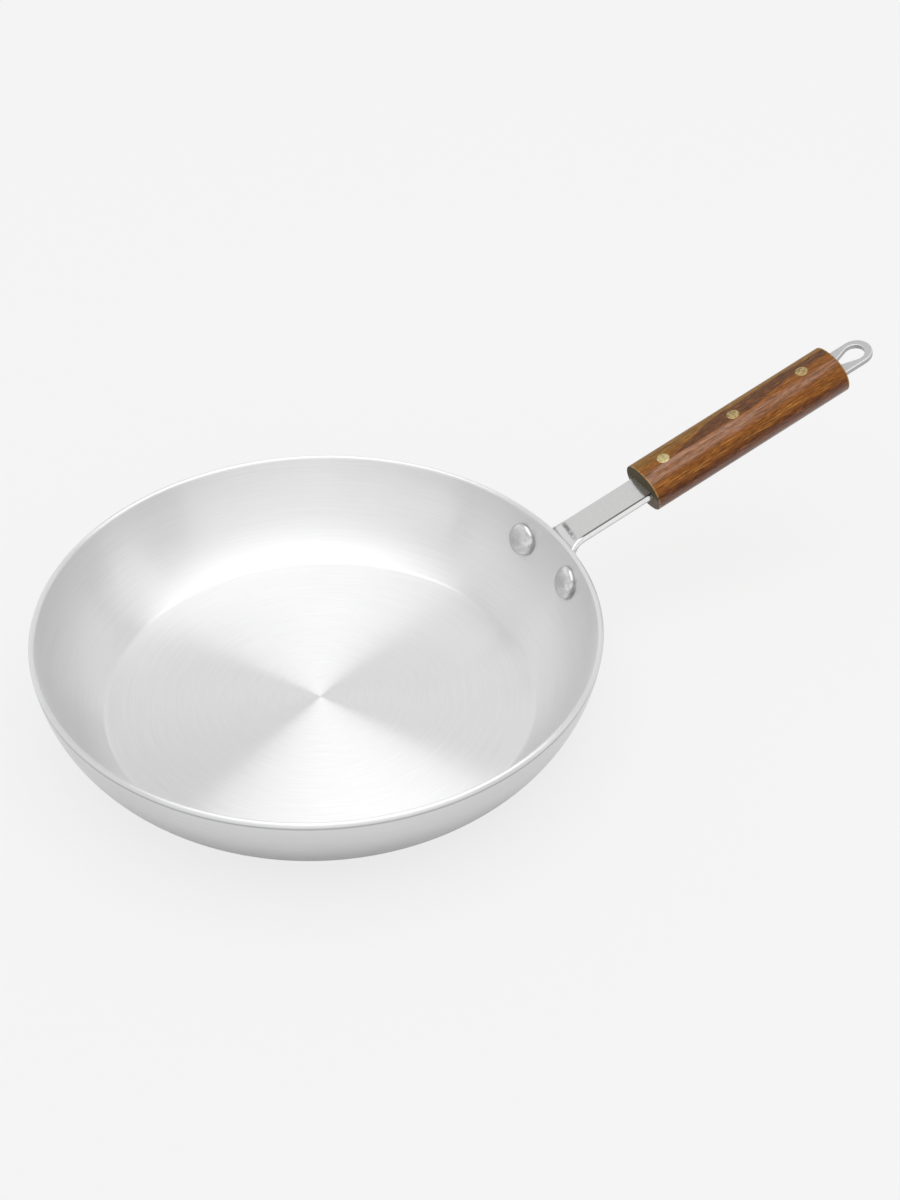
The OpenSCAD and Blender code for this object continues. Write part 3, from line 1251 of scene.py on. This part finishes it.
@dataclass
class WallRivet:
    """A rivet with a soft-shouldered head inside the bowl and a set end outside."""

    strap: StrapSize
    finish: RivetAluminium
    side: Side
    shank_d: float = 5.8 * MM
    head_d: float = 14.8 * MM
    head_h: float = 3.5 * MM
    tail_d: float = 10.5 * MM
    tail_h: float = 2.2 * MM
    shoulder: float = 2.8
    seat: float = 0.5 * MM
    dome_steps: int = 24
    turn_steps: int = 64

    def _dome(self, radius: float, height: float) -> list[Point]:
        """Returns a soft-shouldered dome from its crown to its rim, as radius and height."""
        shares = [math.sin(math.radians(90 * i / self.dome_steps)) for i in range(self.dome_steps + 1)]
        return [(radius * x, height * (1 - x**self.shoulder) ** (1 / self.shoulder)) for x in shares]

    def _through_wall(self) -> Matrix:
        """Turns an upright rivet, head down, into its hole in the wall.

        Returns:
            The matrix of the turn.
        """
        turn = Matrix.Rotation(self.side.value * math.radians(self.strap.rivet_angle / 2), 4, "Z")
        centre = Matrix.Translation((self.strap.bowl.curve_c[0], 0, self.strap.bowl.curve_c[1]))
        return turn @ centre @ Matrix.Rotation(math.radians(90 + self.strap.rivet_dip), 4, "Y")

    def build(self) -> bmesh.types.BMesh:
        """Turns the rivet and puts it through the wall.

        Returns:
            The rivet's mesh.
        """
        inner = self.strap.bowl.curve_r - self.strap.bowl.wall
        outer = self.strap.flange_r + self.strap.thick
        head = [(r, inner - h) for r, h in self._dome(self.head_d / 2, self.head_h)]
        tail = [(r, outer + h) for r, h in self._dome(self.tail_d / 2, self.tail_h)]
        shank = [
            (self.head_d / 2, inner + self.seat),
            (self.shank_d / 2, inner + self.seat),
            (self.shank_d / 2, outer - self.seat),
            (self.tail_d / 2, outer - self.seat),
        ]
        mesh = lathe(head + shank + tail[::-1], self.turn_steps)
        mesh.transform(self._through_wall())
        return mesh

    def axis(self) -> Vector:
        """Returns the direction from the wall to the middle of the head, into the bowl."""
        return self._through_wall().to_3x3() @ Vector((0, 0, -1))

    def dress(self) -> None:
        """Shows the rivet in its finish."""
        word = self.side.name.lower()
        material = self.finish.material(word, self.axis())
        show(f"rivet_{word}", self.build(), f"wall_rivet_{word}", material)


class Half(Enum):
    """Upper and lower half of the grip."""

    UPPER = 1
    LOWER = -1


@dataclass
class GripScale:
    """One wooden half of the grip, grooved for the strap, with rounded ends."""

    size: GripSize
    finish: VarnishedWood
    half: Half
    end_round: float = 0.4 * MM
    seam_edge: float = 0.25 * MM
    fit: float = 0.05 * MM
    side_steps: int = 16
    crown_steps: int = 20
    end_steps: int = 5
    middle_steps: int = 12

    def _section(self) -> tuple[list[Point], list[Vector]]:
        """Draws the half oval with its groove.

        Returns:
            The outline, and how each of its points moves in at a rounded end.
        """
        size = self.size
        seam_turn = math.degrees(math.asin(self.seam_edge / size.side_r))
        crown_c = (0.0, size.height / 2 - size.crown_r)
        right = arc((size.side_x, 0.0), size.side_r, seam_turn, size.crown_turn, self.side_steps)
        crown = arc(crown_c, size.crown_r, size.crown_turn, 180 - size.crown_turn, self.crown_steps)
        left = arc((-size.side_x, 0.0), size.side_r, 180 - size.crown_turn, 180 - seam_turn, self.side_steps)
        edge = size.width / 2 - self.seam_edge
        outer = [(edge, 0.0), *right, *crown[1:-1], *left, (-edge, 0.0)]
        inner_x = size.strap.width / 2 + self.fit
        inner_y = size.strap.thick / 2 + self.fit
        groove = [(-inner_x, 0.0), (-inner_x, inner_y), (inner_x, inner_y), (inner_x, 0.0)]
        inward = []
        for i, point in enumerate(outer):
            run = Vector(outer[min(i + 1, len(outer) - 1)]) - Vector(outer[max(i - 1, 0)])
            inward.append(Vector((-run.y, run.x)).normalized())
        inward[0] = Vector((-1, 0))
        inward[-1] = Vector((1, 0))
        return outer + groove, inward + [Vector((0, 0))] * len(groove)

    def build(self) -> bmesh.types.BMesh:
        """Draws the half oval along the grip, smaller at the rounded ends.

        Returns:
            The scale's mesh.
        """
        size = self.size
        outline, inward = self._section()
        turns = [math.radians(90 * i / self.end_steps) for i in range(self.end_steps + 1)]
        front = [(self.end_round * (1 - math.cos(a)), self.end_round * (1 - math.sin(a))) for a in turns]
        middle = [(size.length * i / self.middle_steps, 0.0) for i in range(1, self.middle_steps)]
        back = [(size.length - s, inset) for s, inset in reversed(front)]
        rings = []
        for s, inset in front + middle + back:
            ring = []
            for point, turn in zip(outline, inward):
                t, n = Vector(point) + inset * turn
                ring.append(size.strap.at(size.start + s, t, size.mid_n + self.half.value * max(n, 0.0)))
            rings.append(ring)
        return loft(rings)

    def dress(self) -> None:
        """Shows the scale in its finish."""
        word = self.half.name.lower()
        material = self.finish.material(word)
        show(f"scale_{word}", self.build(), f"grip_scale_{word}", material)


@dataclass
class GripPin:
    """A brass pin through the grip, filed flush with the wood at both ends."""

    size: GripSize
    finish: FiledBrass
    place: int
    name: str
    proud: float = 0.06 * MM
    slack: float = 0.02 * MM
    edge: float = 0.12 * MM
    ring_steps: int = 6
    turn_steps: int = 40

    def build(self) -> bmesh.types.BMesh:
        """Joins the two crowned ends of the pin.

        Returns:
            The pin's mesh.
        """
        radius = self.size.pin_d / 2 - self.slack
        shares = [(i + 1) / self.ring_steps for i in range(self.ring_steps)]
        rings = []
        for end in (1, -1):
            disc = []
            for share in shares:
                reach = radius * share - (self.edge if share == 1 else 0.0)
                disc.append(self._ring(reach, end, self.proud * (1 - share**2)))
            disc.append(self._ring(radius, end, -self.edge))
            rings.extend(disc if end > 0 else reversed(disc))
        return loft(rings)

    def _ring(self, radius: float, end: int, lift: float) -> list[Vector]:
        """Returns one ring of the pin's end, laid on the grip's crown.

        Args:
            radius: The ring's radius.
            end: 1 for the top, -1 for the underside.
            lift: Height over the wood.

        Returns:
            The ring's points.
        """
        size = self.size
        ring = []
        for i in range(self.turn_steps):
            turn = 2 * math.pi * i / self.turn_steps
            s = size.pin_s(self.place) + radius * math.cos(turn)
            t = radius * math.sin(turn)
            ring.append(size.strap.at(s, t, size.mid_n + end * (size.crown_height(t) + lift)))
        return ring

    def dress(self) -> None:
        """Shows the pin in its finish."""
        material = self.finish.material(self.name)
        show(f"pin_{self.name}", self.build(), f"grip_pin_{self.name}", material)


# Studio


class Shape(Enum):
    """Outline of a studio lamp, with its share of the rectangle round it."""

    BOX = ("RECTANGLE", 1.0)
    ROUND = ("ELLIPSE", math.pi / 4)


@dataclass(frozen=True)
class SoftBox:
    """A flat studio lamp with a soft even face."""

    name: str
    place: tuple[float, float, float]
    target: tuple[float, float, float]
    width: float
    depth: float
    radiance: float
    shape: Shape = Shape.BOX

    def hang(self, turn: float) -> None:
        """Hangs the lamp.

        Args:
            turn: Angle in radians by which the photo's frame is turned into the part's frame.
        """
        outline, share = self.shape.value
        lamp = bpy.data.lights.new(self.name, "AREA")
        lamp.shape = outline
        lamp.size = self.width
        lamp.size_y = self.depth
        lamp.energy = self.radiance * math.pi * share * self.width * self.depth
        spin = Matrix.Rotation(turn, 3, "Z")
        place = spin @ Vector(self.place)
        back = (place - spin @ Vector(self.target)).normalized()
        upright = Vector((0, 0, 1)) if abs(back.z) < 0.99 else spin @ Vector((0, 1, 0))
        side = upright.cross(back).normalized()
        axes = Matrix((side, back.cross(side), back)).transposed().to_4x4()
        put(self.name, lamp).matrix_world = Matrix.Translation(place) @ axes


@dataclass(frozen=True)
class PhotoCamera:
    """The camera that the photo was fitted to.

    The fit gives the pixel of the rim's centre, the scale there and the camera's tilt. The handle's
    turn is the angle from the photo's horizontal to the handle, seen from above.
    """

    image: tuple[int, int] = (900, 1200)
    rim_pixel: Point = (317.1, 622.7)
    pixels_per_mm: float = 2.3885
    distance: float = 1000.0 * MM
    tilt: float = 39.52
    handle_turn: float = 30.9
    sensor: float = 36.0

    def place(self, rim_centre: Vector) -> None:
        """Adds the camera to the scene.

        Args:
            rim_centre: The middle of the rim's plane.
        """
        scale = self.pixels_per_mm / MM
        tilt = math.radians(self.tilt)
        spin = Matrix.Rotation(-math.radians(self.handle_turn), 3, "Z")
        right = spin @ Vector((1, 0, 0))
        ahead = spin @ Vector((0, math.cos(tilt), -math.sin(tilt)))
        down = ahead.cross(right)
        across = (self.rim_pixel[0] - self.image[0] / 2) / scale
        below = (self.rim_pixel[1] - self.image[1] / 2) / scale
        lens = bpy.data.cameras.new("photo camera")
        lens.sensor_fit = "AUTO"
        lens.sensor_width = self.sensor
        lens.lens = scale * self.distance * self.sensor / max(self.image)
        eye = put("photo camera", lens)
        eye.location = rim_centre - across * right - below * down - self.distance * ahead
        eye.rotation_euler = ahead.to_track_quat("-Z", "Y").to_euler()
        bpy.context.scene.camera = eye
        log.info("camera lens %.2f mm at %s", lens.lens, tuple(round(v, 3) for v in eye.location))


@dataclass(frozen=True)
class Studio:
    """The pale floor, the lamps and the even light of the room."""

    turn: float
    floor: Floor
    boxes: tuple[SoftBox, ...]
    room: float = 0.70
    light: Colour = (1.0, 1.0, 1.0)
    backdrop: Colour = (0.905, 0.905, 0.905)
    floor_r: float = 4.0
    floor_steps: int = 96

    def build(self) -> None:
        """Lays the floor and hangs the lamps."""
        data = bpy.data.meshes.new("studio_floor")
        mesh = lathe([(0.0, 0.0), (self.floor_r / 2, 0.0), (self.floor_r, 0.0)], self.floor_steps)
        for face in mesh.faces:
            if face.normal.z < 0:
                face.normal_flip()
        mesh.to_mesh(data)
        mesh.free()
        data.materials.append(self.floor.material())
        put("studio_floor", data)
        for box in self.boxes:
            box.hang(self.turn)
        self._fill_room()

    def _fill_room(self) -> None:
        """Lights the room evenly, and shows the camera the floor's tone beyond the floor."""
        book = NodeBook("studio", world=True)
        light = book.add("ShaderNodeBackground", inputs={"Color": _rgba(self.light), "Strength": self.room})
        shown = book.add("ShaderNodeBackground", inputs={"Color": _rgba(self.backdrop), "Strength": 1.0})
        camera = book.add("ShaderNodeLightPath", output="Is Camera Ray")
        mixed = book.add("ShaderNodeMixShader", inputs={0: camera, 1: light, 2: shown})
        bpy.context.scene.world = book.close(mixed)


BOXES = (
    SoftBox("overhead", (0.15, -0.03, 1.2), (0.15, -0.03, 0.0), 1.66, 1.70, 0.79, Shape.ROUND),
    SoftBox("overhead_back", (0.14, 0.50, 1.19), (0.14, 0.50, 0.0), 1.05, 0.45, 0.25),
    SoftBox("front", (0.0, -1.5, 0.5), (0.0, 0.0, 0.03), 4.4, 0.9, 0.28),
    SoftBox("back_strip", (0.04, 1.04, 0.97), (0.0, 0.0, 0.03), 0.30, 0.55, 0.42),
    SoftBox("back_left", (-1.0, 1.0, 0.50), (0.0, 0.0, 0.03), 1.27, 0.75, 0.28),
    SoftBox("back_right", (1.05, 0.94, 0.54), (0.0, 0.0, 0.03), 1.1, 0.64, 0.2),
    SoftBox("right", (1.38, 0.12, 0.6), (0.0, 0.0, 0.03), 0.7, 0.8, 0.28),
    SoftBox("left", (-1.32, 0.0, 0.73), (0.0, 0.0, 0.03), 1.1, 0.97, 0.15),
)


def main() -> None:
    """Builds the pan and its studio in order."""
    logging.basicConfig(level=logging.INFO, format="%(name)s: %(message)s")
    camera = PhotoCamera()
    bowl = BowlSize()
    strap = StrapSize(bowl)
    grip = GripSize(strap)
    camera.place(Vector((0, 0, bowl.height)))
    SpunBowl(bowl, SpunAluminium(bowl)).dress()
    BentStrap(strap, PolishedSteel(strap)).dress()
    for side in Side:
        WallRivet(strap, RivetAluminium(), side).dress()
    for half in Half:
        GripScale(grip, VarnishedWood(grip), half).dress()
    worn = FiledBrass(pale=(0.47, 0.35, 0.16), dull=(0.27, 0.19, 0.09))
    for place, (name, brass) in enumerate((("front", FiledBrass()), ("middle", worn), ("rear", worn))):
        GripPin(grip, brass, place, name).dress()
    Studio(-math.radians(camera.handle_turn), Floor(), BOXES).build()
    bpy.context.scene.view_settings.view_transform = "Standard"


if __name__ == "__main__":
    main()
